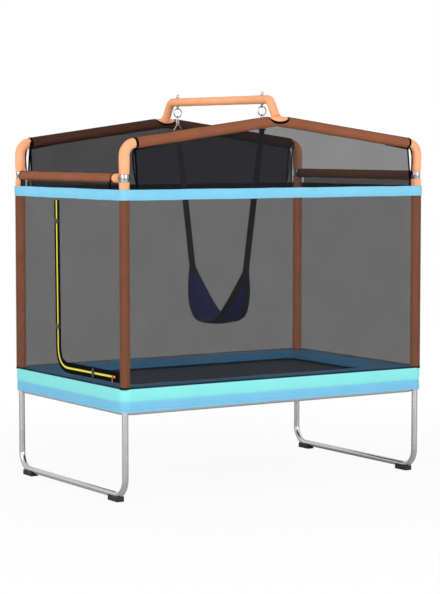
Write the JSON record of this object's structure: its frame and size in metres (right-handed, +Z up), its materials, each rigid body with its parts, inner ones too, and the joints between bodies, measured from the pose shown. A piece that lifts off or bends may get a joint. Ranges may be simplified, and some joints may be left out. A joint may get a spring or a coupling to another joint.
{
  "type": "trampoline",
  "caption": "Rectangular garden trampoline for toddlers: padded frame on tube legs, net on corner poles, padded gable arches and a crossbar with a hanging sling swing.",
  "frame": {"origin": "on the floor, in the middle of the footprint", "axes": "+Z up; X along the long sides, with the zipped door on the -X end; the front long side faces -Y"},
  "size_m": [1.87, 1.1742, 2.0438],
  "materials": {
    "galvanised": "satin",
    "chromed": "polished",
    "rubber": "matte",
    "mat_cloth": "matte",
    "blue_vinyl": "satin",
    "teal_vinyl": "satin",
    "sleeve_cloth": "matte",
    "foam": "matte",
    "webbing": "matte",
    "seat_cloth": "matte",
    "net_cloth": "matte",
    "band_cloth": "matte",
    "zip_metal": "satin"
  },
  "bodies": {
    "frame": {"frame_end_left": "galvanised", "frame_end_right": "galvanised", "lower_rail_front": "galvanised", "lower_rail_rear": "galvanised", "upper_rail_front": "galvanised", "upper_rail_rear": "galvanised", "leg_left": "galvanised", "leg_right": "galvanised", "foot_left_front": "rubber", "foot_left_rear": "rubber", "foot_right_front": "rubber", "foot_right_rear": "rubber", "springs": "chromed", "frame_pad": "blue_vinyl", "pad_skirt": "teal_vinyl", "corner_pole_left_front": "galvanised", "corner_pole_left_rear": "galvanised", "corner_pole_right_front": "galvanised", "corner_pole_right_rear": "galvanised", "pole_foam_left_front": "sleeve_cloth", "pole_foam_left_rear": "sleeve_cloth", "pole_foam_right_front": "sleeve_cloth", "pole_foam_right_rear": "sleeve_cloth", "arch_tube_left_front": "galvanised", "arch_tube_left_rear": "galvanised", "arch_tube_right_front": "galvanised", "arch_tube_right_rear": "galvanised", "bend_foam_left_front": "foam", "bend_foam_left_rear": "foam", "bend_foam_right_front": "foam", "bend_foam_right_rear": "foam", "gable_sleeve_front": "sleeve_cloth", "gable_sleeve_rear": "sleeve_cloth", "end_beam_left": "galvanised", "end_beam_right": "galvanised", "beam_sleeve_left": "sleeve_cloth", "beam_sleeve_right": "sleeve_cloth", "crossbar": "galvanised", "crossbar_foam": "foam", "eye_bolt_front": "chromed", "eye_bolt_rear": "chromed", "net_front": "net_cloth", "net_rear": "net_cloth", "net_right": "net_cloth", "net_left": "net_cloth", "top_band": "band_cloth"},
    "mat": {"jumping_mat": "mat_cloth"},
    "swing": {"swing_ring_front": "chromed", "swing_ring_rear": "chromed", "snap_hook_front": "chromed", "snap_hook_rear": "chromed", "strap_ring_front": "chromed", "strap_ring_rear": "chromed", "swing_strap_front": "webbing", "swing_strap_rear": "webbing", "swing_seat": "seat_cloth"},
    "hook_gate_front": {"hook_gate_front": "chromed"},
    "hook_gate_rear": {"hook_gate_rear": "chromed"},
    "door_flap": {"door_flap": "net_cloth"},
    "zip_slider": {"zip_slider": "zip_metal"}
  },
  "joints": [
    {"name": "swing_pivot", "type": "hinge", "parent": "frame", "child": "swing", "pos_m": [0, 0, 1.9607], "axis": [0, 1, 0], "range_deg": [-35, 35]},
    {"name": "gate_front_hinge", "type": "hinge", "parent": "swing", "child": "hook_gate_front", "pos_m": [0, -0.4075, 1.8864], "axis": [1, 0, 0], "range_deg": [0, 25], "stiffness_Nm_per_rad": 0.03, "springref_deg": -11.46},
    {"name": "gate_rear_hinge", "type": "hinge", "parent": "swing", "child": "hook_gate_rear", "pos_m": [0, 0.4075, 1.8864], "axis": [-1, 0, 0], "range_deg": [0, 25], "stiffness_Nm_per_rad": 0.03, "springref_deg": -11.46},
    {"name": "mat_bounce", "type": "slide", "parent": "frame", "child": "mat", "axis": [0, 0, 1], "range_m": [-0.12, 0], "stiffness_N_per_m": 8000, "springref_m": 0.005, "deforming": ["springs"]},
    {"name": "door_fold", "type": "hinge", "parent": "frame", "child": "door_flap", "pos_m": [-0.9313, -0.475, 0.626], "axis": [0, 0.5509, 0.8346], "range_deg": [0, 150]},
    {"name": "zip_slide", "type": "slide", "parent": "frame", "child": "zip_slider", "axis": [0, 1, 0], "range_m": [0, 0.46]}
  ]
}
